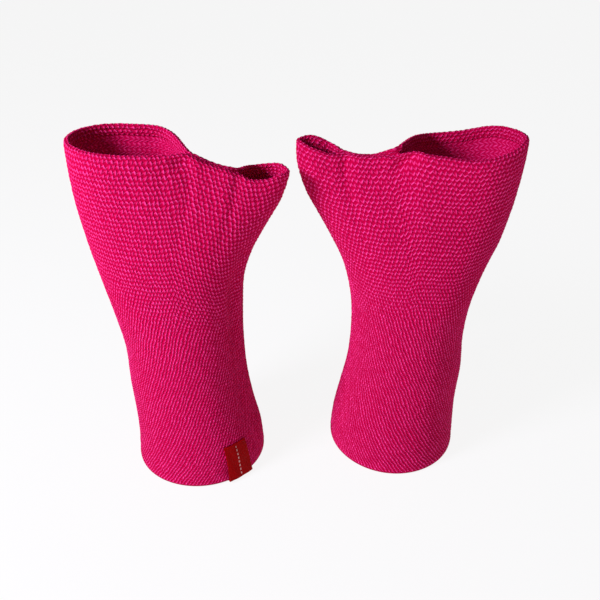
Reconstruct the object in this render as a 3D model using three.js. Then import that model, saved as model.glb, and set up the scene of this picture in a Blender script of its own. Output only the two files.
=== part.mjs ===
// A pair of knitted arm warmers, standing filled out on their wrist hems.
// Millimetres, +Z up. The origin is on the ground, at the middle of the pair's footprint.
// Each warmer is one knitted wrap, seamed down its thumb side and joined at the web, so that its
// upper end is a wide finger opening and a small thumb opening. In a warmer's own frame +X points
// to its thumb side and -Y to its front, and the right warmer is turned over left to right.
import * as THREE from "three";

// ---- Driving sizes ----
const WALL = 2.2; // knitted wall
const SEAM_GAP = 0.3; // clearance between edges and layers that are sewn together
const HEM_WALL = 1.5; // layer of knit turned in at the finger opening
const HEM_GAP = 0.55; // clearance between that layer and the wall's flat facets
const HEM_DEPTH = 6; // how far the turned-in edge reaches down
const HEM_DROP = 0.5; // how far the turned-in edge sits below the rim
const HEM_FROM = 102; // degrees round the wrap where the turned-in edge starts and, mirrored, ends
const PINCH_FROM = 104; // height where the front and back start to draw together towards the web
const PINCH_FULL = 170; // height where they meet
const PINCH_POWER = 2.4; // how late they draw together
const LOBE_POWER = 2.2; // how full an opening stays towards the web
const WEB_HALF = 2.47; // half the web's thickness, two walls and the gap between them
const LABEL = {
  width: 14.5,
  height: 21.5, // outside leg, above the ground
  inside: 8, // inside leg
  thick: 0.6,
  flare: 1.2, // how far the fold stands off the hem
  angle: 49, // degrees round the wrap from the thumb side to the front
  room: 19, // degrees either side where the hem is lifted over the fold
};

// ---- Mesh density ----
const STRIPS_ROUND = 52;
const ROWS_UP = 19;
const HEM_ROWS = 2;
const LABEL_COLUMNS = 5;
const SLOPE_STEP = 0.01; // radians either side over which a section's slope is taken

// ---- Section tables ----
// sections: finger and thumb are the reach of the two side edges from the wrist's axis, depth is
// half the front-to-back size at its fullest, and back is how far the middle leans backwards.
// rim: heights of the front and the back edge at a place across, from -1 at the finger side to 1
// at the thumb side, and lean is how far the middle of the edge leans backwards there.
// lobes: where across each opening is fullest and where it ends in the web, and half the thumb
// opening's front-to-back size.
const LEFT = {
  name: "left",
  x: -56,
  y: -5,
  turned: false,
  sections: [
    { z: 0, finger: 35.4, thumb: 35.4, depth: 35.6, back: 0 },
    { z: 15, finger: 34.3, thumb: 33.6, depth: 34.2, back: 0.3 },
    { z: 30, finger: 34.6, thumb: 30.2, depth: 32.5, back: 0.8 },
    { z: 50, finger: 36.0, thumb: 27.0, depth: 30.5, back: 1.6 },
    { z: 70, finger: 36.6, thumb: 25.8, depth: 29.5, back: 2.4 },
    { z: 90, finger: 40.0, thumb: 26.0, depth: 29.0, back: 3.2 },
    { z: 110, finger: 44.4, thumb: 27.6, depth: 28.3, back: 4.0 },
    { z: 125, finger: 48.0, thumb: 32.4, depth: 27.5, back: 4.8 },
    { z: 140, finger: 51.0, thumb: 40.4, depth: 26.2, back: 5.6 },
    { z: 152, finger: 52.8, thumb: 47.0, depth: 25.2, back: 6.2 },
    { z: 166, finger: 53.8, thumb: 51.2, depth: 24.2, back: 6.8 },
    { z: 182, finger: 54.0, thumb: 51.6, depth: 23.4, back: 7.0 },
  ],
  rim: [
    { at: -1, front: 181, back: 181, lean: 8 },
    { at: -0.85, front: 180.8, back: 180.6, lean: 7.8 },
    { at: -0.5, front: 180, back: 179.8, lean: 7 },
    { at: -0.23, front: 179.4, back: 179.2, lean: 6.6 },
    { at: -0.1, front: 179.2, back: 178.4, lean: 4.6 },
    { at: 0, front: 179.1, back: 178.5, lean: -0.3 },
    { at: 0.1, front: 179.3, back: 178.5, lean: -6.3 },
    { at: 0.18, front: 177.6, back: 178.2, lean: -9.7 },
    { at: 0.26, front: 175.3, back: 175.7, lean: -9.2 },
    { at: 0.36, front: 172.7, back: 173.1, lean: -8.5 },
    { at: 0.5, front: 170, back: 170.8, lean: -7.4 },
    { at: 0.65, front: 165.8, back: 166.4, lean: -0.9 },
    { at: 0.8, front: 165.1, back: 166.6, lean: 1 },
    { at: 0.92, front: 166.6, back: 167.6, lean: 0.5 },
    { at: 1, front: 166.6, back: 166.6, lean: 0 },
  ],
  lobes: { fingerFull: -0.51, webFrom: 0.22, webTo: 0.5, thumbFull: 0.8, thumbDepth: 8.5 },
};

const RIGHT = {
  name: "right",
  x: 53,
  y: 7.5,
  turned: true,
  sections: [
    { z: 0, finger: 35.4, thumb: 35.2, depth: 38.5, back: 0 },
    { z: 15, finger: 34.8, thumb: 33.6, depth: 36.0, back: 0.2 },
    { z: 30, finger: 34.8, thumb: 30.6, depth: 33.5, back: 0.5 },
    { z: 50, finger: 36.2, thumb: 26.6, depth: 31.0, back: 1.0 },
    { z: 70, finger: 35.6, thumb: 25.2, depth: 29.5, back: 1.6 },
    { z: 90, finger: 37.8, thumb: 26.0, depth: 28.5, back: 2.4 },
    { z: 110, finger: 43.4, thumb: 30.0, depth: 27.5, back: 3.2 },
    { z: 125, finger: 49.2, thumb: 36.6, depth: 26.5, back: 4.0 },
    { z: 140, finger: 52.8, thumb: 44.6, depth: 25.0, back: 4.6 },
    { z: 152, finger: 54.8, thumb: 50.8, depth: 24.0, back: 5.0 },
    { z: 166, finger: 56.2, thumb: 54.4, depth: 22.8, back: 5.4 },
    { z: 182, finger: 56.8, thumb: 54.6, depth: 22.0, back: 5.6 },
  ],
  rim: [
    { at: -1, front: 178, back: 178, lean: 5 },
    { at: -0.8, front: 175, back: 176.8, lean: 5.6 },
    { at: -0.5, front: 172.8, back: 173, lean: 5.6 },
    { at: -0.2, front: 174.3, back: 172, lean: 5.5 },
    { at: 0, front: 175.2, back: 174.7, lean: 0.1 },
    { at: 0.1, front: 174, back: 175.8, lean: -4.3 },
    { at: 0.17, front: 171.9, back: 175.4, lean: -6.3 },
    { at: 0.26, front: 172, back: 173.2, lean: -5.5 },
    { at: 0.36, front: 171.3, back: 171.6, lean: -4.7 },
    { at: 0.5, front: 171.7, back: 172, lean: -4 },
    { at: 0.7, front: 172, back: 173.8, lean: 1 },
    { at: 0.82, front: 174, back: 176.5, lean: 1.6 },
    { at: 0.92, front: 175.4, back: 177.3, lean: 2.3 },
    { at: 1, front: 176.9, back: 176.9, lean: 2.5 },
  ],
  lobes: { fingerFull: -0.52, webFrom: 0.22, webTo: 0.55, thumbFull: 0.82, thumbDepth: 7 },
};

// ---- Section geometry ----
const DEGREE = Math.PI / 180;

// Value of a table's column at a place, on a smooth curve through the rows.
function readColumn(rows, key, place, column) {
  const last = rows.length - 1;
  let i = rows.findIndex((row) => row[key] > place) - 1;
  if (i < 0) i = place <= rows[0][key] ? 0 : last - 1;
  const slope = (k) => {
    const a = rows[Math.max(k - 1, 0)];
    const b = rows[Math.min(k + 1, last)];
    return (b[column] - a[column]) / (b[key] - a[key]);
  };
  const low = rows[i];
  const high = rows[i + 1];
  const span = high[key] - low[key];
  const t = THREE.MathUtils.clamp((place - low[key]) / span, 0, 1);
  const u = 1 - t;
  return (
    u * u * (1 + 2 * t) * low[column] +
    t * t * (1 + 2 * u) * high[column] +
    span * t * u * (u * slope(i) - t * slope(i + 1))
  );
}

// Half depth, from 0 to 1, of a rounded end that closes at the side edge (-1 or 1), is fullest at
// full and dies out smoothly at away.
function lobe(at, edge, full, away) {
  const outward = (at - full) / (edge - full);
  if (outward >= 0) return Math.sqrt(Math.max(0, 1 - outward * outward));
  const inward = Math.min((at - full) / (away - full), 1);
  return 0.5 + 0.5 * Math.cos(Math.PI * inward ** LOBE_POWER);
}

// Place on the outer face of a warmer's section at height z, at an angle round the wrap.
function sectionPoint(warmer, angle, z) {
  const read = (column) => readColumn(warmer.sections, "z", z, column);
  const finger = -read("finger");
  const thumb = read("thumb");
  const across = Math.cos(angle);
  const x = (thumb + finger) / 2 + ((thumb - finger) / 2) * across;
  const round = Math.sin(angle);
  const pinchHeight = (z - PINCH_FROM) / (PINCH_FULL - PINCH_FROM);
  const pinch = THREE.MathUtils.clamp(pinchHeight, 0, 1) ** PINCH_POWER;
  const { fingerFull, webFrom, webTo, thumbFull, thumbDepth } = warmer.lobes;
  const lobes =
    read("depth") * lobe(across, -1, fingerFull, webFrom) +
    thumbDepth * lobe(across, 1, thumbFull, webTo);
  const web = WEB_HALF * Math.sqrt(Math.abs(round));
  const top = Math.hypot(lobes, web);
  const half = (1 - pinch) * read("depth") * Math.abs(round) + pinch * top;
  const rimLean = readColumn(warmer.rim, "at", across, "lean");
  const middle = (1 - pinch) * read("back") + pinch * rimLean;
  return new THREE.Vector2(x, middle - Math.sign(round) * half);
}

// Place at a depth inside (or, when negative, outside) the outer face.
function wallPoint(warmer, angle, z, depth) {
  const p = sectionPoint(warmer, angle, z);
  const ahead = sectionPoint(warmer, angle + SLOPE_STEP, z);
  const along = ahead.sub(sectionPoint(warmer, angle - SLOPE_STEP, z));
  const inward = new THREE.Vector2(-along.y, along.x).normalize().negate();
  const q = p.clone().addScaledVector(inward, depth);
  return new THREE.Vector3(q.x, q.y, z);
}

// Height of the upper edge at an angle round the wrap.
function rimHeight(warmer, angle) {
  const side = Math.sin(angle) > 0 ? "front" : "back";
  const ends = Math.min(Math.abs(Math.sin(angle)) * 2, 1);
  const both = ["front", "back"].map((c) => readColumn(warmer.rim, "at", Math.cos(angle), c));
  const own = side === "front" ? both[0] : both[1];
  return (1 - ends) * ((both[0] + both[1]) / 2) + ends * own;
}

// ---- Wall meshes ----
// One closed wall from two matching grids of points, outer[row][column] and inner[row][column].
function wallGeometry(outer, inner, turned) {
  const rows = outer.length;
  const columns = outer[0].length;
  const points = [...outer.flat(), ...inner.flat()];
  const at = (layer, row, column) => (layer * rows + row) * columns + column;
  const faces = [];
  const quad = (a, b, c, d) => faces.push(...(turned ? [a, b, c, a, c, d] : [a, c, b, a, d, c]));
  for (let j = 0; j + 1 < rows; j++) {
    for (let i = 0; i + 1 < columns; i++) {
      quad(at(0, j, i), at(0, j, i + 1), at(0, j + 1, i + 1), at(0, j + 1, i));
      quad(at(1, j, i), at(1, j + 1, i), at(1, j + 1, i + 1), at(1, j, i + 1));
    }
    quad(at(0, j, 0), at(0, j + 1, 0), at(1, j + 1, 0), at(1, j, 0));
    const end = columns - 1;
    quad(at(0, j, end), at(1, j, end), at(1, j + 1, end), at(0, j + 1, end));
  }
  for (let i = 0; i + 1 < columns; i++) {
    quad(at(0, 0, i), at(1, 0, i), at(1, 0, i + 1), at(0, 0, i + 1));
    const top = rows - 1;
    quad(at(0, top, i), at(0, top, i + 1), at(1, top, i + 1), at(1, top, i));
  }
  const geometry = new THREE.BufferGeometry().setFromPoints(points);
  geometry.setIndex(faces);
  geometry.computeVertexNormals();
  return geometry;
}

function range(count, from, to) {
  return Array.from({ length: count + 1 }, (_, i) => from + ((to - from) * i) / count);
}

const knit = new THREE.MeshStandardMaterial({ color: 0xc8125c, roughness: 0.85, metalness: 0 });
const ribbon = new THREE.MeshStandardMaterial({ color: 0x96040c, roughness: 0.6, metalness: 0 });

function addPiece(group, name, geometry, material) {
  const piece = new THREE.Mesh(geometry, material);
  piece.name = name;
  group.add(piece);
}

// How far the wrist hem is lifted at an angle, to let the folded label pass under it.
function hemLift(warmer, angle) {
  if (warmer.turned) return 0;
  const away = Math.abs(angle / DEGREE - LABEL.angle);
  return away < LABEL.room ? LABEL.thick + SEAM_GAP : 0;
}

// The knitted wrap, from its wrist hem to its rim, open by a seam's gap at the thumb side.
function bodyGeometry(warmer) {
  const angles = range(STRIPS_ROUND, 0, 2 * Math.PI);
  const levels = range(ROWS_UP, 0, 1);
  const grid = (depth) =>
    levels.map((level) =>
      angles.map((angle, i) => {
        const low = hemLift(warmer, angle);
        const z = low + level * (rimHeight(warmer, angle) - low);
        const p = wallPoint(warmer, angle, z, depth);
        if (i === 0) p.y -= SEAM_GAP / 2;
        if (i === STRIPS_ROUND) p.y += SEAM_GAP / 2;
        return p;
      }),
    );
  return wallGeometry(grid(0), grid(WALL), warmer.turned);
}

// The edge turned in at the finger opening, a band that stops short of the web on both sides.
function hemGeometry(warmer) {
  const angles = range(STRIPS_ROUND, 0, 2 * Math.PI).filter(
    (angle) => angle > HEM_FROM * DEGREE && angle < (360 - HEM_FROM) * DEGREE,
  );
  const levels = range(HEM_ROWS, 0, 1);
  const grid = (depth) =>
    levels.map((level) =>
      angles.map((angle) => {
        const drop = HEM_DEPTH + level * (HEM_DROP - HEM_DEPTH);
        return wallPoint(warmer, angle, rimHeight(warmer, angle) - drop, depth);
      }),
    );
  const outside = WALL + HEM_GAP;
  return wallGeometry(grid(outside), grid(outside + HEM_WALL), warmer.turned);
}

// The folded ribbon over the wrist hem: down the outside, under the edge and up the inside. Its
// fold stands a little off the hem.
function labelGeometry(warmer) {
  const { width, height, inside, thick, flare, angle } = LABEL;
  const radius = warmer.sections[0].depth;
  const outsideLeg = (z) => -SEAM_GAP - flare * (1 - z / height) ** 2;
  const insideLeg = WALL + SEAM_GAP;
  const path = [
    ...[1, 0.75, 0.5, 0.25].map((part) => ({ z: part * height, depth: outsideLeg(part * height) })),
    { z: thick, depth: outsideLeg(0) },
    { z: thick, depth: insideLeg },
    { z: inside, depth: insideLeg },
  ];
  const fold = 4; // the row where the ribbon turns under; the next row turns up
  const columns = range(LABEL_COLUMNS - 1, -width / 2, width / 2);
  const grid = (face) =>
    path.map((step, row) =>
      columns.map((across) => {
        const turn = angle * DEGREE - across / radius;
        const outward = row <= fold ? -face : face;
        const z = row === fold || row === fold + 1 ? step.z - face : step.z;
        return wallPoint(warmer, turn, z, step.depth + outward);
      }),
    );
  return wallGeometry(grid(thick), grid(0), warmer.turned);
}

const pair = new THREE.Group();
for (const warmer of [LEFT, RIGHT]) {
  const group = new THREE.Group();
  const place = (geometry) => {
    if (warmer.turned) geometry.scale(-1, 1, 1);
    return geometry;
  };
  addPiece(group, `${warmer.name}_body`, place(bodyGeometry(warmer)), knit);
  addPiece(group, `${warmer.name}_finger_hem`, place(hemGeometry(warmer)), knit);
  if (warmer.name === "left") addPiece(group, "left_label", labelGeometry(warmer), ribbon);
  group.position.set(warmer.x, warmer.y, 0);
  pair.add(group);
}
const middle = new THREE.Box3().setFromObject(pair).getCenter(new THREE.Vector3());
for (const group of pair.children) group.position.sub(new THREE.Vector3(middle.x, middle.y, 0));

export default pair;
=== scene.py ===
"""Pair of knitted arm warmers: the knitted surface, the folded label, the finishes and the stage."""

import math

import bpy
import numpy as np
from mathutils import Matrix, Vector


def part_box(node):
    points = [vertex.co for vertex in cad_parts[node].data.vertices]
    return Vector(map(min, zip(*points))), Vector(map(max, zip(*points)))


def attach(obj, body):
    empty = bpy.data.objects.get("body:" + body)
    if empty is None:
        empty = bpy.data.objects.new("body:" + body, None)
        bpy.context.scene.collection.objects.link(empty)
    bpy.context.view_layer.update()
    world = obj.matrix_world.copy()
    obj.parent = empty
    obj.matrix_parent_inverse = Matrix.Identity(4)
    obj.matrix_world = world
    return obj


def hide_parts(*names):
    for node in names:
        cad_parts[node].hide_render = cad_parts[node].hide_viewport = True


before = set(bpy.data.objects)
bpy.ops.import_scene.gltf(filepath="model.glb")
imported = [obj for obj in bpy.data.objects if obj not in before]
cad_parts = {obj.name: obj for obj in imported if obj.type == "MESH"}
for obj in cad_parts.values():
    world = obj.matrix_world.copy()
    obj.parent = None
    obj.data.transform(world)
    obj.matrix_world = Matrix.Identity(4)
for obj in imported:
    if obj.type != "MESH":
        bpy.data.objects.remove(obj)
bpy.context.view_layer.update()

bl_info = {
    "name": "Knitted Arm Warmers",
    "version": (1, 0, 0),
    "blender": (4, 5, 0),
    "location": "View3D > Sidebar > Arm Warmers",
    "description": "Builds the knit, the label and the stage round the packed pair of arm warmers",
    "category": "Object",
}

# ---- Sizes of the garment, in millimetres, as in the part's own tables ----
MM = 0.001
WALL = 2.2  # one layer of knit
HEM_WALL = 0.6  # the layer turned in at the finger opening
HEM_DEPTH = 6.0  # how far the turned-in edge reaches down
HEM_FROM = 96.0  # degrees round the wrap where the turned-in edge starts and, mirrored, ends
HEM_RIDGE = 0.15  # how far its last row of stitches stands out
HEM_FADE = 9.0  # degrees over which it thins out
PINCH_FROM = 104.0  # height where the front and back start to draw together towards the web
PINCH_FULL = 170.0  # height where they have met
PINCH_POWER = 2.4  # how late they draw together
LOBE_POWER = 2.2  # how full an opening stays towards the web
WEB_HALF = 2.47  # half the web's thickness
WEB_ROLL, WEB_OPEN = 2.8, 4.6  # half depths of the rim that is one roll, and of the rim that is two
WEB_OVERLAP = 0.08  # how far the front's and the back's rolls reach past the web's middle
RIDGE_AT, RIDGE_WIDE = 0.62, 0.16  # the turned-in edge's last row, as shares of its depth
EDGE_RADIUS = 1.1  # rounding of the wrist edge
FIRM, FIRM_LOW, FIRM_HIGH = 0.55, 3.5, 6.0  # how much flatter the wrist band is, and where it ends
GROOVE_DEPTH, GROOVE_AT, GROOVE_WIDE = 0.25, 5.2, 0.8  # shallow groove above the wrist band
SEAM_DEPTH, SEAM_WIDE, SEAM_RADIUS = 0.5, 1.5, 30  # the seam's dip, and the wrap's radius there
SEAM_LOW, SEAM_HIGH = 158, 164  # heights over which the seam fades out
LABEL_ANGLE = 49  # degrees from the thumb side to the front
LABEL_THICK, LABEL_GAP = 0.55, 0.35  # the ribbon, and its distance from the wall
LABEL_FLARE = 1.3  # how far its fold stands out
LABEL_FOLD = 1.6  # height where its fold starts
LABEL_INSIDE = 8.0  # height of its inner leg

SECTION_COLUMNS = ("z", "finger", "thumb", "depth", "back")
RIM_COLUMNS = ("at", "front", "back", "lean")
# A fold is a soft trough (or, with a negative depth, a ridge): its middle in degrees round the
# wrap and in height, its reach both ways, its turn for each mm of height, and its depth.
FOLD_COLUMNS = ("angle", "z", "turn", "rise", "lean", "depth")

LEFT = {
    "name": "left",
    "side": 1,
    "stitches": 118,
    "drift": 0.30,
    "sections": (
        (0, 35.4, 35.4, 35.6, 0),
        (15, 34.3, 33.6, 34.2, 0.3),
        (30, 34.6, 30.2, 32.5, 0.8),
        (50, 36.0, 27.0, 30.5, 1.6),
        (70, 36.6, 25.8, 29.5, 2.4),
        (90, 40.0, 26.0, 29.0, 3.2),
        (110, 44.4, 27.6, 28.3, 4.0),
        (125, 48.0, 32.4, 27.5, 4.8),
        (140, 51.0, 40.4, 26.2, 5.6),
        (152, 52.8, 47.0, 25.2, 6.2),
        (166, 53.8, 51.2, 24.2, 6.8),
        (182, 54.0, 51.6, 23.4, 7.0),
    ),
    "rim": (
        (-1, 181, 181, 8),
        (-0.85, 180.8, 180.6, 7.8),
        (-0.5, 180, 179.8, 7),
        (-0.23, 179.4, 179.2, 6.6),
        (-0.1, 179.2, 178.4, 4.6),
        (0, 179.1, 178.5, -0.3),
        (0.1, 179.3, 178.5, -6.3),
        (0.18, 177.6, 178.2, -9.7),
        (0.26, 175.3, 175.7, -9.2),
        (0.36, 172.7, 173.1, -8.5),
        (0.5, 170, 170.8, -7.4),
        (0.65, 165.8, 166.4, -0.9),
        (0.8, 165.1, 166.6, 1),
        (0.92, 166.6, 167.6, 0.5),
        (1, 166.6, 166.6, 0),
    ),
    "lobes": {"full": -0.51, "web_from": 0.22, "web_to": 0.5, "thumb_full": 0.8, "thumb_depth": 8.5},
    "folds": (
        (24, 45, 16, 60, -0.12, 0.7),
        (27, 98, 13, 46, 0.04, 2.2),
        (9, 14, 14, 16, 0, -0.6),
        (87, 175, 8, 6, 0, 1.2),
        (95, 120, 40, 60, 0.2, 0.7),
        (150, 60, 30, 50, 0, 0.5),
        (215, 90, 40, 70, -0.2, 0.7),
        (300, 60, 40, 60, 0.2, 0.8),
    ),
}
RIGHT = {
    "name": "right",
    "side": -1,
    "stitches": 112,
    "drift": 0.14,
    "sections": (
        (0, 35.4, 35.2, 38.5, 0),
        (15, 34.8, 33.6, 36.0, 0.2),
        (30, 34.8, 30.6, 33.5, 0.5),
        (50, 36.2, 26.6, 31.0, 1.0),
        (70, 35.6, 25.2, 29.5, 1.6),
        (90, 37.8, 26.0, 28.5, 2.4),
        (110, 43.4, 30.0, 27.5, 3.2),
        (125, 49.2, 36.6, 26.5, 4.0),
        (140, 52.8, 44.6, 25.0, 4.6),
        (152, 54.8, 50.8, 24.0, 5.0),
        (166, 56.2, 54.4, 22.8, 5.4),
        (182, 56.8, 54.6, 22.0, 5.6),
    ),
    "rim": (
        (-1, 178, 178, 5),
        (-0.8, 175, 176.8, 5.6),
        (-0.5, 172.8, 173, 5.6),
        (-0.2, 174.3, 172, 5.5),
        (0, 175.2, 174.7, 0.1),
        (0.1, 174, 175.8, -4.3),
        (0.17, 171.9, 175.4, -6.3),
        (0.26, 172, 173.2, -5.5),
        (0.36, 171.3, 171.6, -4.7),
        (0.5, 171.7, 172, -4),
        (0.7, 172, 173.8, 1),
        (0.82, 174, 176.5, 1.6),
        (0.92, 175.4, 177.3, 2.3),
        (1, 176.9, 176.9, 2.5),
    ),
    "lobes": {"full": -0.52, "web_from": 0.22, "web_to": 0.55, "thumb_full": 0.82, "thumb_depth": 7.0},
    "folds": (
        (20, 30, 16, 40, 0.1, 0.8),
        (86, 171, 6, 9, 0.9, 2.2),
        (8, 12, 12, 14, 0, -0.5),
        (95, 125, 36, 60, 0.3, 0.6),
        (140, 50, 30, 50, 0, 0.5),
        (210, 95, 40, 70, 0.2, 0.7),
        (305, 70, 40, 60, -0.2, 0.7),
    ),
}

# ---- The knit's grid ----
MAP_STITCHES = 118  # stitches across the whole map
ROWS = 86  # rows from the wrist edge to the rim
ROW_GROWTH = 0.153  # how much looser the rows are at the rim than at the wrist
FINE = 4  # grid steps round each stitch
OUTSIDE_STEPS = 312  # grid steps up the outside
CAP_STEPS = 12  # grid steps over the rolled rim
CAP_ROWS = 2.5  # rows of stitches over the rolled rim
TURNED_STEPS = 12  # grid steps down the turned-in edge
TURNED_ROWS = 2.5  # rows of stitches on it
INSIDE_STEPS = 34  # grid steps down the part of the inside that the openings show
INSIDE_REACH = 84.0  # how far down that is, in mm
DEEP_STEPS = 20  # grid steps down the rest of the inside
DEEP_ROWS = 65.0  # rows of stitches on it
FOOT_STEPS = 6  # grid steps under the wrist edge
ROW_PITCH = 1.6  # height of a row on the inside, in mm
BUMP_OUT = 0.21  # how far a stitch stands out of the wall's face
BUMP_IN = 0.13  # how deep the gaps are
BUMP_INSIDE = 0.30  # how far a stitch of the turned-in edge stands out
PLUMP, PLUMP_CELL = 0.3, 4  # how unlike each other the stitches' heights are
WANDER, WANDER_FINE, WANDER_WIDE = 0.2, 5, 50  # how far stitches wander sideways, and over how many
WANDER_UP = 0.17  # how far they wander up and down, in rows
WAVE, WAVE_CELL = 0.22, 70  # slow unevenness of the wall, in mm
TOTAL_ROWS = 215.0  # rows of stitches along the whole profile, for the map


# ---- Section of the wrap ----
def read_column(rows, names, place, column):
    """Column of a table at places, on a smooth curve through the rows."""
    keys = np.array([row[0] for row in rows], float)
    values = np.array([row[names.index(column)] for row in rows], float)
    last = len(rows) - 1
    before, after = np.maximum(np.arange(last + 1) - 1, 0), np.minimum(np.arange(last + 1) + 1, last)
    slopes = (values[after] - values[before]) / (keys[after] - keys[before])
    place = np.asarray(place, float)
    low = np.clip(np.searchsorted(keys, place, side="right") - 1, 0, last - 1)
    span = keys[low + 1] - keys[low]
    t = np.clip((place - keys[low]) / span, 0, 1)
    u = 1 - t
    return (
        u * u * (1 + 2 * t) * values[low]
        + t * t * (1 + 2 * u) * values[low + 1]
        + span * t * u * (u * slopes[low] - t * slopes[low + 1])
    )


def lobe(at, edge, full, away):
    """Half depth, 0 to 1, of a rounded end closing at edge, fullest at full, gone at away."""
    outward = (at - full) / (edge - full)
    inward = np.clip((at - full) / (away - full), 0, 1)
    rounded = np.sqrt(np.clip(1 - outward**2, 0, 1))
    return np.where(outward >= 0, rounded, 0.5 + 0.5 * np.cos(np.pi * inward**LOBE_POWER))


def section(warmer, angle, z):
    """Places x, y on the outer face at angles and heights, and half the section's depth there."""
    table = warmer["sections"]
    finger, thumb, depth, back = (
        read_column(table, SECTION_COLUMNS, z, name) for name in SECTION_COLUMNS[1:]
    )
    across, round_it = np.cos(angle), np.sin(angle)
    x = (thumb - finger) / 2 + (thumb + finger) / 2 * across
    pinch = np.clip((z - PINCH_FROM) / (PINCH_FULL - PINCH_FROM), 0, 1) ** PINCH_POWER
    k = warmer["lobes"]
    lobes = depth * lobe(across, -1, k["full"], k["web_from"]) + k["thumb_depth"] * lobe(
        across, 1, k["thumb_full"], k["web_to"]
    )
    top = np.hypot(lobes, WEB_HALF * np.sqrt(np.abs(round_it)))
    half = (1 - pinch) * depth * np.abs(round_it) + pinch * top
    lean = read_column(warmer["rim"], RIM_COLUMNS, across, "lean")
    middle = (1 - pinch) * back + pinch * lean
    return x, middle - np.sign(round_it) * half, half


def rim_height(warmer, angle):
    front, back = (read_column(warmer["rim"], RIM_COLUMNS, np.cos(angle), c) for c in ("front", "back"))
    ends = np.minimum(np.abs(np.sin(angle)) * 2, 1)
    own = np.where(np.sin(angle) > 0, front, back)
    return (1 - ends) * (front + back) / 2 + ends * own


def wall_points(warmer, angle, z, depth):
    """Places at a depth inside the outer face."""
    step = 0.01
    x, y, half = section(warmer, angle, z)
    ahead, behind = section(warmer, angle + step, z), section(warmer, angle - step, z)
    dx, dy = ahead[0] - behind[0], ahead[1] - behind[1]
    size = np.maximum(np.hypot(dx, dy), 1e-9)
    return np.stack([x + depth * dy / size, y - depth * dx / size, z + 0 * x], -1), half


def smooth(low, high, value):
    t = np.clip((value - low) / (high - low), 0, 1)
    return t * t * (3 - 2 * t)


def turned_in(angle):
    """1 where the turned-in edge lies behind the wall, 0 where there is none."""
    off_front = np.degrees(angle) % 360
    off_front = np.minimum(off_front, 360 - off_front)
    return smooth(HEM_FROM - HEM_FADE, HEM_FROM, off_front)


# ---- The knit's pattern, in stitches and rows ----
def soft_noise(rng, rows, columns, cell):
    """Smooth seeded noise, about -1 to 1, on a grid that closes round its columns."""
    a, b = max(2, round(rows / cell)), max(3, round(columns / cell))
    knots = rng.uniform(-1, 1, (a + 1, b))
    r, c = np.linspace(0, a - 1e-6, rows), np.arange(columns) * b / columns
    i, j = r.astype(int), c.astype(int)
    s, t = r - i, c - j
    s, t = (s * s * (3 - 2 * s))[:, None], (t * t * (3 - 2 * t))[None]
    j2 = (j + 1) % b
    top = knots[i][:, j] * (1 - t) + knots[i][:, j2] * t
    low = knots[i + 1][:, j] * (1 - t) + knots[i + 1][:, j2] * t
    return top * (1 - s) + low * s


STAGGER = 0.62  # how far each row is set off from the one below, in stitches
LEAN_LOW, LEAN_HIGH = -0.38, 0.46  # how far a stitch leans for each row of height
LEAN_FROM, LEAN_OVER = 46.0, 16.0  # rows where the lean turns from one side to the other
DRIFT_LOW, DRIFT_UNDER = 0.005, 52.0  # the same for each row below that one
STITCH_WIDE, STITCH_HIGH = 0.36, 0.52  # reach of a stitch from its middle, in stitches and rows


def drift(warmer, v):
    """Sideways drift of the stitches, in stitches, that lessens the stagger of some rows."""
    t = np.clip((v - LEAN_FROM) / LEAN_OVER, 0, None)
    above = warmer["drift"] * LEAN_OVER * np.where(t < 1, t * t / 2, t - 0.5)
    return above - DRIFT_LOW * np.clip(DRIFT_UNDER - v, 0, None) ** 2 / 2


def pebble(u, v):
    """Height, 0 to 1, of the pebbled outside: leaning ovals, each row set off from the last."""
    row = np.floor(v)
    x = (u - STAGGER * row) % 1 - 0.5
    y = v - row - 0.5
    lean = LEAN_LOW + (LEAN_HIGH - LEAN_LOW) * np.clip((v - LEAN_FROM) / LEAN_OVER, 0, 1)
    x = x - lean * y
    return np.clip(1 - (x / STITCH_WIDE) ** 2 - (y / STITCH_HIGH) ** 2, 0, 1) ** 0.65


# ---- The knitted surface ----
def even_angles(warmer, levels, foot):
    """Angles that space the stitches evenly round the front and round the back at each level."""
    dense = 361
    half_columns = warmer["stitches"] * FINE // 2
    rows = []
    for start in (0, math.pi):
        angle = start + np.linspace(0, math.pi, dense)[None] + np.zeros((len(levels), 1))
        z = foot + levels[:, None] * (rim_height(warmer, angle) - foot)
        x, y, _ = section(warmer, angle, z)
        run = np.concatenate([np.zeros((len(levels), 1)), np.cumsum(np.hypot(np.diff(x), np.diff(y)), 1)], 1)
        share = np.linspace(0, 1, half_columns + 1)[:-1]
        rows.append(np.stack([np.interp(share * r[-1], r, a) for r, a in zip(run, angle)]))
    return np.concatenate(rows, 1)


def fold_depth(warmer, angle, z):
    total = np.zeros(np.broadcast(angle, z).shape)
    for fold in warmer["folds"]:
        k = dict(zip(FOLD_COLUMNS, fold))
        middle = k["angle"] + k["lean"] * (z - k["z"])
        off = (np.degrees(angle) - middle + 180) % 360 - 180
        near = np.clip(np.abs(off) / k["turn"], 0, 1), np.clip(np.abs(z - k["z"]) / k["rise"], 0, 1)
        total += k["depth"] * np.prod([0.5 + 0.5 * np.cos(np.pi * n) for n in near], 0)
    return total


def along(grid, axis, step):
    """Central difference round a grid that closes both ways."""
    return np.roll(grid, -step, axis) - np.roll(grid, step, axis)


def normals_of(points):
    """Directions out of the cloth, on a grid whose columns run clockwise seen from above."""
    n = np.cross(along(points, 0, 1), along(points, 1, 1))
    return n / np.maximum(np.linalg.norm(n, axis=-1, keepdims=True), 1e-12)


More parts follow.
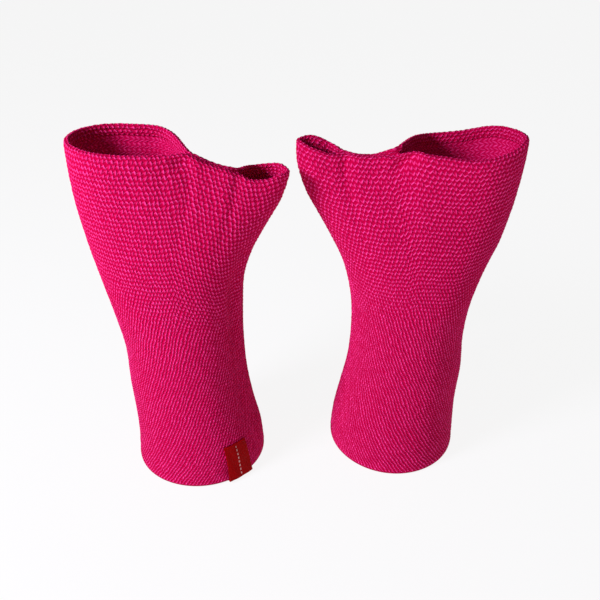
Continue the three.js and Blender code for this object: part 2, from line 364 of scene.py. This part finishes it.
def knit_surface(warmer, bump):
    """Points, stitch counts and inside mask of the whole tube, rows by columns.

    The rows run up the outside, over the rolled rim, down the inside and under the wrist edge.
    """
    rng = np.random.default_rng(11 if warmer["side"] > 0 else 12)
    outer_levels = np.linspace(0, 1, OUTSIDE_STEPS + 1)
    foot = EDGE_RADIUS
    angles = even_angles(warmer, outer_levels, foot)
    columns = angles.shape[1]
    top_angle = angles[-1]
    rim = rim_height(warmer, top_angle)
    turned = turned_in(top_angle)
    thick = WALL + HEM_WALL * turned
    radius = thick / 2
    # where the front and the back are joined in the web, the edge is one flat roll
    top_half = section(warmer, top_angle, rim)[2]
    across, lobes = np.cos(top_angle), warmer["lobes"]
    web = (1 - smooth(WEB_ROLL, WEB_OPEN, top_half)) * (across > lobes["full"]) * (across < lobes["thumb_full"])
    to_middle = (rim_height(warmer, -top_angle) - rim) / 2 * web
    thick_top = thick + (top_half + WEB_OVERLAP - thick) * web

    def angle_at(level):
        place = np.clip(level, 0, 1) * (len(outer_levels) - 1)
        low = np.minimum(place.astype(int), len(outer_levels) - 2)
        part = place - low
        c = np.arange(columns)
        return angles[low, c] * (1 - part) + angles[low + 1, c] * part

    rows, z_rows, depth_rows, v_rows = [], [], [], []

    def add(angle, z, depth, v):
        rows.append(angle)
        z_rows.append(z + 0 * angle)
        depth_rows.append(depth + 0 * angle)
        v_rows.append(v)

    shoulder = rim - radius
    for level, angle in zip(outer_levels, angles):
        # the last angles are the rim's own, where the wall starts to roll over
        own_rim = rim_height(warmer, angle) - radius
        add(angle, foot + level * (own_rim - foot), 0, ROWS * level * (1 + ROW_GROWTH - ROW_GROWTH * level))
    for i in range(1, CAP_STEPS + 1):
        phi = math.pi * i / CAP_STEPS
        past = smooth(CAP_STEPS / 2, CAP_STEPS, i)
        rise = math.sin(phi) if i < CAP_STEPS / 2 else web + (1 - web) * math.sin(phi)
        depth = thick_top / 2 * (1 - math.cos(phi))
        add(top_angle, shoulder + radius * rise + to_middle * past, depth, ROWS + CAP_ROWS * i / CAP_STEPS)
    turned_reach = HEM_DEPTH - radius
    for i in range(1, TURNED_STEPS + 1):
        part = i / TURNED_STEPS
        step_back = smooth(RIDGE_AT, 1.0, np.array(part))
        z = shoulder - turned_reach * part
        level = (z - foot) / (shoulder - foot)
        ridge = HEM_RIDGE * np.exp(-(((part - RIDGE_AT) / RIDGE_WIDE) ** 2)) * turned
        depth = thick + (WALL - thick) * step_back + ridge
        add(angle_at(level), z, depth, ROWS + CAP_ROWS + TURNED_ROWS * part)
    base_v = ROWS + CAP_ROWS + TURNED_ROWS
    under = shoulder - turned_reach
    for i in range(1, INSIDE_STEPS + 1):
        z = under - INSIDE_REACH * i / INSIDE_STEPS
        level = (z - foot) / (shoulder - foot)
        add(angle_at(level), z, WALL, base_v + INSIDE_REACH / ROW_PITCH * i / INSIDE_STEPS)
    base_v += INSIDE_REACH / ROW_PITCH
    under = under - INSIDE_REACH
    for i in range(1, DEEP_STEPS + 1):
        part = i / DEEP_STEPS
        z = under + (foot - under) * part
        level = (z - foot) / (shoulder - foot)
        add(angle_at(level), z, WALL, base_v + DEEP_ROWS * part)
    base_v += DEEP_ROWS
    for i in range(1, FOOT_STEPS):
        phi = math.pi * i / FOOT_STEPS
        depth = WALL / 2 * (1 + math.cos(phi))
        add(angles[0], foot - EDGE_RADIUS * math.sin(phi), depth, base_v + i / FOOT_STEPS)

    angle, z, depth = np.stack(rows), np.stack(z_rows), np.stack(depth_rows)
    v = np.array(v_rows)[:, None] + np.zeros_like(angle)
    u = np.arange(columns)[None] / FINE + np.zeros_like(angle)
    outside = v <= ROWS + CAP_ROWS / 2
    inside = v > ROWS + CAP_ROWS + TURNED_ROWS * 0.9
    base, half = wall_points(warmer, angle, z, depth)
    face = normals_of(base)

    # stitches wander a little, as hand tension makes them
    u = u + drift(warmer, v)
    for cell in (WANDER_FINE, WANDER_WIDE):
        u = u + WANDER * soft_noise(rng, *angle.shape, cell)
    v = v + WANDER_UP * soft_noise(rng, *angle.shape, WANDER_FINE) * (v > 1.5)
    height = pebble(u, v) * ~inside
    plump = 1 + PLUMP * soft_noise(rng, *angle.shape, PLUMP_CELL)
    room = np.clip((half - depth - 0.15) / 1.2, 0, 1)
    relief = height * plump * bump - BUMP_IN
    relief = np.where(outside, relief, height * plump * BUMP_INSIDE * room)
    # the wrist edge is firmer, with a shallow groove above it
    firm = 1 - FIRM * smooth(FIRM_HIGH, FIRM_LOW, z) * outside
    groove = GROOVE_DEPTH * np.exp(-(((z - GROOVE_AT) / GROOVE_WIDE) ** 2)) * outside
    # sewn seam up the thumb side
    run = np.minimum(angle, 2 * math.pi - angle) * SEAM_RADIUS
    seam = SEAM_DEPTH * np.exp(-((run / SEAM_WIDE) ** 2)) * outside * smooth(SEAM_HIGH, SEAM_LOW, z)
    waves = WAVE * soft_noise(rng, *angle.shape, WAVE_CELL) * smooth(4, 14, z)
    push = relief * firm - groove - seam
    points = base + face * push[..., None]
    # folds move the whole wall, so both faces follow
    out_x, out_y = section_outward(warmer, angle, z)
    bend = fold_depth(warmer, angle, z) * smooth(2, 12, z) + waves
    points[..., 0] -= out_x * bend
    points[..., 1] -= out_y * bend
    return points, u, v, inside


def section_outward(warmer, angle, z):
    """Outward direction of the section at places, worked out at mid wall."""
    step = 0.02
    a, b = section(warmer, angle + step, z), section(warmer, angle - step, z)
    dx, dy = a[0] - b[0], a[1] - b[1]
    size = np.maximum(np.hypot(dx, dy), 1e-9)
    return -dy / size, dx / size


def placed(warmer, points):
    """Millimetres in a warmer's own frame to metres in the pair's frame."""
    low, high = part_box(f"{warmer['name']}_body")
    angle = np.linspace(0, 2 * np.pi, 721)[None] + np.zeros((90, 1))
    z = np.linspace(0, 1, 90)[:, None] * rim_height(warmer, angle)
    x, y, _ = section(warmer, angle, z)
    own = np.array([(x.max() + x.min()) / 2 * warmer["side"], (y.max() + y.min()) / 2, 0])
    middle = np.array([(low.x + high.x) / 2, (low.y + high.y) / 2, 0])
    out = points * np.array([warmer["side"], 1, 1])
    return (out - own) * MM + middle


def ladder(outer, inner, height):
    """Triangles between two chains of points that both climb from a shared foot to a shared top."""
    i = j = 0
    faces = []
    while i + 1 < len(outer) or j + 1 < len(inner):
        up_outer = i + 1 < len(outer) and (
            j + 1 >= len(inner) or height[outer[i + 1]] <= height[inner[j + 1]]
        )
        if up_outer:
            face = (outer[i], outer[i + 1], inner[j])
            i += 1
        else:
            face = (outer[i], inner[j + 1], inner[j])
            j += 1
        if len(set(face)) == 3:
            faces.append(face)
    return faces


def cloth_object(name, points, quads, triangles, normals, maps):
    """Mesh object from numpy arrays, with its own normals and maps."""
    mesh = bpy.data.meshes.new(name)
    corners = np.concatenate([quads.ravel(), triangles.ravel()]).astype(np.int32)
    sizes = np.concatenate([np.full(len(quads), 4), np.full(len(triangles), 3)]).astype(np.int32)
    mesh.vertices.add(len(points))
    mesh.vertices.foreach_set("co", points.astype(np.float32).ravel())
    mesh.loops.add(len(corners))
    mesh.loops.foreach_set("vertex_index", corners)
    mesh.polygons.add(len(sizes))
    starts = np.concatenate([[0], np.cumsum(sizes)[:-1]]).astype(np.int32)
    mesh.polygons.foreach_set("loop_start", starts)
    mesh.polygons.foreach_set("loop_total", sizes)
    mesh.update(calc_edges=True)
    if mesh.validate():
        raise RuntimeError(f"{name} has faces that don't hold together")
    mesh.shade_smooth()
    for map_name, values in maps.items():
        layer = mesh.uv_layers.new(name=map_name)
        layer.uv.foreach_set("vector", values[corners].astype(np.float32).ravel())
    if normals is not None:
        mesh.normals_split_custom_set_from_vertices(normals.astype(np.float32))
    obj = bpy.data.objects.new(name, mesh)
    bpy.context.scene.collection.objects.link(obj)
    return obj


def knit_halves(warmer, bump):
    """The front and the back of one warmer, which meet at the seam and at the finger side."""
    points, u, v, inside = knit_surface(warmer, bump)
    points = placed(warmer, points)
    mirror = warmer["side"] < 0
    normals = normals_of(points) * (-1 if mirror else 1)
    rows, columns = points.shape[:2]
    halves = []
    for name, start in (("front", 0), ("back", columns // 2)):
        keep = (start + np.arange(columns // 2 + 1)) % columns
        part, own = points[:, keep].reshape(-1, 3), normals[:, keep].reshape(-1, 3)
        wide = len(keep)
        stitch_u = (u[:, keep] + np.where(keep < start, warmer["stitches"], 0)[None]).ravel() / MAP_STITCHES
        stitch_v = v[:, keep].ravel() / TOTAL_ROWS
        at = np.arange(rows * wide).reshape(rows, wide)
        up = np.roll(at, -1, 0)
        quads = np.stack([at[:, :-1], up[:, :-1], up[:, 1:], at[:, 1:]], -1).reshape(-1, 4)
        z = part[:, 2]
        ends = []
        for column, turn in ((0, False), (wide - 1, True)):
            ring = at[:, column]
            top, foot = ring[np.argmax(z[ring])], ring[np.argmin(z[ring])]
            t, f = int(np.where(ring == top)[0][0]), int(np.where(ring == foot)[0][0])
            outer = list(np.roll(ring, -f)[: (t - f) % rows + 1])
            inner = list(np.roll(ring[::-1], -(rows - 1 - f))[: (f - t) % rows + 1])
            faces = ladder(outer, inner, z)
            ends += [f3 if turn else f3[::-1] for f3 in faces]
        triangles = np.array(ends)
        if mirror:
            quads, triangles = quads[:, ::-1], triangles[:, ::-1]
        spread_u = np.tile(np.linspace(0.01, 0.99, wide), rows)
        spread_v = np.repeat(np.linspace(0.005, 0.995, rows), wide)
        maps = {"stitches": np.stack([stitch_u, stitch_v], -1), "OFBake": np.stack([spread_u, spread_v], -1)}
        halves.append(cloth_object(f"{warmer['name']}_{name}_knit", part, quads, triangles, own, maps))
    return halves


# ---- The label ----
def label_object(k):
    """Ribbon folded round the wrist edge: down the outside, under the edge and up the inside."""
    height, width = k.label_height / MM, k.label_width / MM
    columns = np.linspace(-0.5, 0.5, 37) * width
    turn = math.radians(LABEL_ANGLE) - columns / LEFT["sections"][0][3]
    steps = []
    for part in np.linspace(1, 0, 34)[:-1]:
        z = LABEL_FOLD + part * (height - LABEL_FOLD)
        stand = LABEL_GAP + 0.25 + LABEL_FLARE * (1 - part) ** 2.2
        steps.append((z, -stand))
    bottom_out, bottom_in = LABEL_GAP + 0.25 + LABEL_FLARE, -(WALL + LABEL_GAP)
    centre, reach = (-bottom_out - bottom_in) / 2, (bottom_out - bottom_in) / 2
    for phi in np.linspace(0, math.pi, 15):
        steps.append((LABEL_FOLD - math.sin(phi), centre - reach * math.cos(phi)))
    for part in np.linspace(0, 1, 10)[1:]:
        steps.append((LABEL_FOLD + part * (LABEL_INSIDE - LABEL_FOLD), WALL + LABEL_GAP))
    z = np.array([s[0] for s in steps])[:, None] + np.zeros(len(columns))[None]
    depth = np.array([s[1] for s in steps])[:, None] + np.zeros(len(columns))[None]
    # the free sides curl off the hem a little, more so at the fold
    side = np.abs(columns / width * 2)[None] ** 3
    curl = 0.35 * side * np.clip((-depth - 0.3) / 1.4, 0, 1)
    wave = 0.10 * np.sin(columns[None] * 0.9 + z * 0.35) * (depth < 0)
    angle = turn[None] + np.zeros_like(z)
    mid, _ = wall_points(LEFT, angle, z, depth - curl + wave)
    n = np.cross(np.gradient(mid, axis=1), np.gradient(mid, axis=0))
    n /= np.linalg.norm(n, axis=-1, keepdims=True)
    faces = [mid - n * LABEL_THICK / 2, mid + n * LABEL_THICK / 2]
    # which layer is the outer one follows from the first row, which faces away from the hem
    outward = section_outward(LEFT, angle[:1], z[:1])
    if (n[0, :, 0] * outward[0][0] + n[0, :, 1] * outward[1][0]).mean() < 0:
        faces.reverse()
    inner_face, outer_face = faces
    rows, wide = mid.shape[:2]
    # both faces, and a strip of quads along each of the four edges
    grid = np.stack([outer_face, inner_face]).reshape(-1, 3)
    at = np.arange(rows * wide * 2).reshape(2, rows, wide)
    o, i = at
    quads = [
        np.stack([o[:-1, :-1], o[1:, :-1], o[1:, 1:], o[:-1, 1:]], -1).reshape(-1, 4),
        np.stack([i[:-1, :-1], i[:-1, 1:], i[1:, 1:], i[1:, :-1]], -1).reshape(-1, 4),
        np.stack([o[:-1, 0], i[:-1, 0], i[1:, 0], o[1:, 0]], -1),
        np.stack([o[:-1, -1], o[1:, -1], i[1:, -1], i[:-1, -1]], -1),
        np.stack([o[0, :-1], o[0, 1:], i[0, 1:], i[0, :-1]], -1),
        np.stack([o[-1, :-1], i[-1, :-1], i[-1, 1:], o[-1, 1:]], -1),
    ]
    quads = np.concatenate(quads)
    run = np.concatenate([[0], np.cumsum(np.linalg.norm(np.diff(mid[:, wide // 2], axis=0), axis=1))])
    uv = np.stack([np.tile(columns + width / 2, rows * 2), np.tile(np.repeat(run, wide), 2)], -1)
    no_triangles = np.zeros((0, 3), int)
    obj = cloth_object("ribbon_label", placed(LEFT, grid), quads, no_triangles, None, {"ribbon": uv / 40})
    bpy.ops.object.select_all(action="DESELECT")
    obj.select_set(True)
    bpy.context.view_layer.objects.active = obj
    bpy.ops.object.mode_set(mode="EDIT")
    bpy.ops.mesh.select_all(action="SELECT")
    bpy.ops.mesh.normals_make_consistent(inside=False)
    bpy.ops.object.mode_set(mode="OBJECT")
    bevel = obj.modifiers.new("soft_edge", "BEVEL")
    bevel.width, bevel.segments, bevel.limit_method = 0.00012, 2, "ANGLE"
    bpy.ops.object.modifier_apply(modifier=bevel.name)
    bpy.ops.object.shade_smooth_by_angle(angle=math.radians(40))
    obj.select_set(False)
    return obj


# ---- Finishes ----
class Wire:
    """A shader value; sums, products and comparisons of it add Math nodes."""

    def __init__(self, shader, socket):
        self.shader, self.socket = shader, socket

    def _math(self, operation, *values, clamp=False):
        inputs = {i: v for i, v in enumerate(values)}
        node = self.shader.node("ShaderNodeMath", {"operation": operation, "use_clamp": clamp}, inputs)
        return Wire(self.shader, node.outputs[0])

    def __add__(self, other):
        return self._math("ADD", self, other)

    def __sub__(self, other):
        return self._math("SUBTRACT", self, other)

    def __rsub__(self, other):
        return self._math("SUBTRACT", other, self)

    def __mul__(self, other):
        return self._math("MULTIPLY", self, other)

    def __truediv__(self, other):
        return self._math("DIVIDE", self, other)

    def __pow__(self, other):
        return self._math("POWER", self, other)

    def __mod__(self, other):
        return self._math("FLOORED_MODULO", self, other)

    def __abs__(self):
        return self._math("ABSOLUTE", self)

    def __gt__(self, other):
        return self._math("GREATER_THAN", self, other)

    __radd__ = __add__
    __rmul__ = __mul__

    def floor(self):
        return self._math("FLOOR", self)

    def largest(self, other):
        return self._math("MAXIMUM", self, other)

    def sine(self):
        return self._math("SINE", self)

    def clamp(self):
        return self._math("ADD", self, 0.0, clamp=True)


class Finish:
    """A material's node tree."""

    def __init__(self, name, **constants):
        self.material = bpy.data.materials.new(name)
        self.material.use_nodes = True
        self.tree = self.material.node_tree
        self.shader = self.tree.nodes["Principled BSDF"]
        for key, value in constants.items():
            self.shader.inputs[key.replace("_", " ")].default_value = value

    def node(self, kind, settings, inputs):
        made = self.tree.nodes.new(kind)
        for key, value in settings.items():
            setattr(made, key, value)
        for key, value in inputs.items():
            if isinstance(value, Wire):
                self.tree.links.new(value.socket, made.inputs[key])
            else:
                made.inputs[key].default_value = value
        return made

    def wire(self, kind, settings, inputs, output=0):
        return Wire(self, self.node(kind, settings, inputs).outputs[output])

    def colour_mix(self, share, low, high):
        colours = [c if isinstance(c, Wire) else (*c, 1) for c in (low, high)]
        inputs = {0: share, 6: colours[0], 7: colours[1]}
        return self.wire("ShaderNodeMix", {"data_type": "RGBA"}, inputs, 2)

    def noise(self, vector, scale, detail, roughness):
        inputs = {"Vector": vector, "Scale": scale, "Detail": detail, "Roughness": roughness}
        return self.wire("ShaderNodeTexNoise", {}, inputs)

    def feed(self, name, value):
        self.tree.links.new(value.socket, self.shader.inputs[name])

    def bump(self, height, strength, distance):
        return self.wire("ShaderNodeBump", {}, {"Height": height, "Strength": strength, "Distance": distance})


def knit_finish(k):
    f = Finish("knit_yarn", Roughness=0.78, Sheen_Weight=k.sheen, Sheen_Roughness=0.45)
    f.shader.inputs["Sheen Tint"].default_value = (1.0, 0.06, 0.42, 1)
    f.shader.inputs["Specular IOR Level"].default_value = 0.02
    stitches = f.wire("ShaderNodeUVMap", {"uv_map": "stitches"}, {})
    parts = f.node("ShaderNodeSeparateXYZ", {}, {0: stitches})
    u, v = Wire(f, parts.outputs[0]) * MAP_STITCHES, Wire(f, parts.outputs[1]) * TOTAL_ROWS
    # outside: leaning ovals
    row = v.floor()
    column = u - STAGGER * row
    x = column % 1 - 0.5
    y = v - row - 0.5
    turn = ((v - LEAN_FROM) / LEAN_OVER).clamp()
    each = f.wire(
        "ShaderNodeTexWhiteNoise",
        {"noise_dimensions": "2D"},
        {"Vector": f.wire("ShaderNodeCombineXYZ", {}, {0: column.floor(), 1: row})},
    )
    lean = LEAN_LOW + (LEAN_HIGH - LEAN_LOW) * turn
    x = x - (lean + (each - 0.5) * 1.1) * y
    oval = (1 - (x / STITCH_WIDE) ** 2 - (y / STITCH_HIGH) ** 2).clamp()
    # painted highlight: a narrow streak along the crown of each stitch
    highlight_streak = (1 - (x / 0.19) ** 2 - (y / 0.46) ** 2).clamp()
    # the yarn that crosses behind, leaning the other way: half a stitch off, and lower down
    # half a row off too; it takes some of the painted highlight as well
    off = 0.5 * (1 - turn)
    row_behind = (v + off).floor()
    y_behind = v + off - row_behind - 0.5
    behind = (u - STAGGER * (row_behind - off) + 0.5) % 1 - 0.5 + lean * 2.2 * y_behind
    crossing = (1 - (behind / 0.2) ** 2 - (y_behind / 0.30) ** 2).clamp() * 0.6
    # inside: rows of strokes that lean one way and the other by turns
    odd = row % 2 * 2 - 1
    stroke = (u - odd * 0.9 * y) % 1 - 0.5
    vee = (1 - (stroke / 0.36) ** 2 - (y / 0.56) ** 2).clamp()
    inside = v > ROWS + CAP_ROWS + TURNED_ROWS * 0.95
    height = oval.largest(crossing) * (1 - inside) + (0.25 + 0.6 * vee) * inside
    highlight_streak = highlight_streak.largest(crossing * 0.9) * (1 - inside) + vee * inside * 0.5
    # plies of the yarn, twisted along each stitch
    plies = (x * 17.0 - y * 8.0).sine() * (1 - inside)
    place = f.wire("ShaderNodeTexCoord", {}, {}, "Object")
    fuzz = f.noise(place, 2200.0, 3.0, 0.65)
    patch = f.noise(place, 34.0, 3.0, 0.6)
    # painted shade: where a stitch's height is low, between the stitches, the colour darkens to the gap colour,
    # broken up by the fuzz
    body = (height * 1.2 + 0.9 * (fuzz - 0.5)).clamp()
    yarn = f.colour_mix(each * 0.7 + patch * 0.3, k.yarn_dark[:], k.yarn[:])
    base = f.colour_mix(body, k.gap[:], yarn)
    # painted highlight: the stitches' crowns are lightened towards a pale pink, more on some stitches and in
    # the fuzz
    painted_highlight = (highlight_streak * (0.5 + 0.7 * each) * (0.3 + 1.5 * fuzz)).clamp()
    base = f.colour_mix(painted_highlight * k.painted_highlight, base, k.painted_highlight_colour[:])
    f.feed("Base Color", base)
    f.feed("Roughness", 0.70 + 0.16 * fuzz)
    relief = height + plies * 0.05 + fuzz * 0.5
    f.feed("Normal", f.bump(relief, 0.75, 0.0005))
    return f.material


def ribbon_finish(k):
    f = Finish("woven_ribbon", Roughness=0.5)
    f.shader.inputs["Specular IOR Level"].default_value = 0.03
    place = f.wire("ShaderNodeUVMap", {"uv_map": "ribbon"}, {})
    parts = f.node("ShaderNodeSeparateXYZ", {}, {0: place})
    across, down = Wire(f, parts.outputs[0]) * 40, Wire(f, parts.outputs[1]) * 40
    # fine ribs along the ribbon, crossed by its weft
    rib = (across * (2 * math.pi / 0.34)).sine()
    weft = (down * (2 * math.pi / 0.26)).sine()
    weave = 0.5 + 0.25 * rib + 0.25 * weft * rib
    noise = f.noise(place, 140.0, 3.0, 0.6)
    base = f.colour_mix(weave * 0.6 + noise * 0.4, k.ribbon_dark[:], k.ribbon[:])
    # a plain row of short stitched bars down the middle
    width = k.label_width / MM
    bar = ((down % 2.4) > 1.1) * (1 - (abs(across - width * 0.5) > 0.35))
    shown = bar * (1 - (down > 19.5)) * (down > 1.6)
    base = f.colour_mix(shown * 0.85, base, k.mark[:])
    f.feed("Base Color", base)
    f.feed("Roughness", 0.42 + 0.2 * noise)
    f.feed("Normal", f.bump(weave + shown * 0.8, 0.5, 0.0002))
    return f.material


# ---- Sizes and colours a user would change ----
def colour_property(name, description, default):
    return bpy.props.FloatVectorProperty(
        name=name, description=description, default=default, size=3, min=0, max=1, subtype="COLOR"
    )


def size_property(name, description, default):
    return bpy.props.FloatProperty(
        name=name, description=description, default=default, min=0, unit="LENGTH", precision=4
    )


def share_property(name, description, default):
    return bpy.props.FloatProperty(
        name=name, description=description, default=default, min=0, max=1, subtype="FACTOR"
    )


class KnitSettings(bpy.types.PropertyGroup):
    """Yarn and stitches."""

    relief: size_property(
        "Stitch relief", "How far each stitch stands above the gaps round it", (BUMP_OUT + BUMP_IN) * MM
    )
    yarn: colour_property("Yarn", "Colour of the yarn", (0.66, 0.0, 0.112))
    yarn_dark: colour_property("Shaded yarn", "Colour of the darker stitches", (0.58, 0.0, 0.082))
    # painted highlight colour on the stitches' crowns
    painted_highlight_colour: colour_property("Stitch crowns", "Colour on top of the stitches", (1.0, 0.065, 0.33))
    # painted shade colour for the gaps between the stitches
    gap: colour_property("Gaps", "Colour between the stitches", (0.50, 0.0, 0.045))
    # how strong the painted highlight on the crowns is
    painted_highlight: share_property("Crown strength", "How much the crowns lighten", 1.0)
    sheen: share_property("Sheen", "Soft shine of the yarn's fibres", 0.02)


class LabelSettings(bpy.types.PropertyGroup):
    """The folded ribbon."""

    label_width: size_property("Width", "Width of the ribbon", 0.0145)
    label_height: size_property("Height", "Height of the label's outer leg", 0.0215)
    ribbon: colour_property("Ribbon", "Colour of the ribbon", (0.44, 0.0, 0.002))
    ribbon_dark: colour_property("Ribbon shade", "Colour between its ribs", (0.30, 0.0, 0.001))
    mark: colour_property("Bars", "Colour of the plain bars", (0.80, 0.45, 0.45))


class StageSettings(bpy.types.PropertyGroup):
    """Floor and camera."""

    floor: colour_property("Floor", "Colour of the floor", (0.09, 0.09, 0.09))
    camera_place: bpy.props.FloatVectorProperty(
        name="Camera",
        description="Where the camera stands",
        default=(0.000184, -0.35155, 0.30284),
        size=3,
        subtype="TRANSLATION",
    )
    camera_pitch: bpy.props.FloatProperty(
        name="Pitch", description="How far the camera looks down", default=math.radians(31), subtype="ANGLE"
    )
    lens: bpy.props.FloatProperty(name="Lens", description="Focal length", default=46.8, min=1, unit="CAMERA")


def give_material(piece, material):
    piece.data.materials.clear()
    piece.data.materials.append(material)


class WARMERS_OT_knit(bpy.types.Operator):
    """Build the knitted front and back of both warmers"""

    bl_idname = "warmers.knit"
    bl_label = "Knitted warmers"

    def execute(self, context):
        k = context.scene.warmers_knit
        finish = knit_finish(k)
        for warmer in (LEFT, RIGHT):
            side = warmer["name"]
            front, back = knit_halves(warmer, k.relief / MM)
            for piece in (front, back):
                give_material(piece, finish)
                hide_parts(f"{side}_body", f"{side}_finger_hem")
                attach(piece, "root")
        return {"FINISHED"}


class WARMERS_OT_label(bpy.types.Operator):
    """Build the ribbon folded round the left warmer's wrist edge"""

    bl_idname = "warmers.label"
    bl_label = "Folded label"

    def execute(self, context):
        k = context.scene.warmers_label
        piece = label_object(k)
        give_material(piece, ribbon_finish(k))
        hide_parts("left_label")
        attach(piece, "root")
        return {"FINISHED"}


class WARMERS_OT_stage(bpy.types.Operator):
    """Lay the pale floor, and set the soft lights and the camera"""

    bl_idname = "warmers.stage"
    bl_label = "Stage"

    def execute(self, context):
        k = context.scene.warmers_stage
        bpy.ops.object.select_all(action="DESELECT")
        bpy.ops.mesh.primitive_plane_add(size=24, location=(0, 0, -0.0006))
        floor = context.object
        floor.name = "floor"
        paper = Finish("pale_floor", Roughness=0.9)
        paper.shader.inputs["Base Color"].default_value = (*k.floor, 1)
        paper.shader.inputs["Specular IOR Level"].default_value = 0.0
        paper.shader.inputs["Emission Color"].default_value = (1, 1, 1, 1)
        paper.shader.inputs["Emission Strength"].default_value = 0.895
        give_material(floor, paper.material)

        for name, place, size, power, tint in (
            ("key_light", (-0.50, -0.31, 0.44), 0.23, 4.95, (0.97, 0.92, 1.12)),
            ("fill_light", (-0.9, -1.1, 0.9), 1.0, 1.4, (1, 0.95, 0.92)),
        ):
            bpy.ops.object.light_add(type="AREA", location=place)
            light = context.object
            light.name = name
            light.data.shape, light.data.size, light.data.energy = "DISK", size, power
            light.data.color = tint
            light.rotation_euler = (Vector((0, 0, 0.1)) - Vector(place)).to_track_quat("-Z", "Y").to_euler()
        world = bpy.data.worlds.new("studio")
        world.use_nodes = True
        world.node_tree.nodes["Background"].inputs[0].default_value = (1, 1, 1, 1)
        world.node_tree.nodes["Background"].inputs[1].default_value = 0.17
        context.scene.world = world
        context.scene.view_settings.view_transform = "Standard"

        bpy.ops.object.camera_add(location=k.camera_place, rotation=(math.pi / 2 - k.camera_pitch, 0, 0))
        camera = context.object
        camera.data.lens, camera.data.sensor_width = k.lens, 36
        camera.data.clip_start = 0.01
        context.scene.camera = camera
        return {"FINISHED"}


class WARMERS_PT_panel(bpy.types.Panel):
    """Lists the pieces in the sidebar."""

    bl_label = "Arm Warmers"
    bl_idname = "WARMERS_PT_panel"
    bl_space_type = "VIEW_3D"
    bl_region_type = "UI"
    bl_category = "Arm Warmers"

    def draw(self, context):
        for settings, operator in GROUPS.items():
            box = self.layout.box()
            owner = getattr(context.scene, settings)
            for name in owner.bl_rna.properties.keys():
                if name not in ("rna_type", "name"):
                    box.prop(owner, name)
            box.operator(operator)


GROUPS = {
    "warmers_knit": "warmers.knit",
    "warmers_label": "warmers.label",
    "warmers_stage": "warmers.stage",
}
SETTINGS = {"warmers_knit": KnitSettings, "warmers_label": LabelSettings, "warmers_stage": StageSettings}
CLASSES = (*SETTINGS.values(), WARMERS_OT_knit, WARMERS_OT_label, WARMERS_OT_stage, WARMERS_PT_panel)


def register():
    for cls in CLASSES:
        bpy.utils.register_class(cls)
    for name, cls in SETTINGS.items():
        setattr(bpy.types.Scene, name, bpy.props.PointerProperty(type=cls))


def unregister():
    for name in SETTINGS:
        delattr(bpy.types.Scene, name)
    for cls in reversed(CLASSES):
        bpy.utils.unregister_class(cls)


def main():
    register()
    bpy.ops.warmers.stage()
    bpy.ops.warmers.knit()
    bpy.ops.warmers.label()


if __name__ == "__main__":
    main()
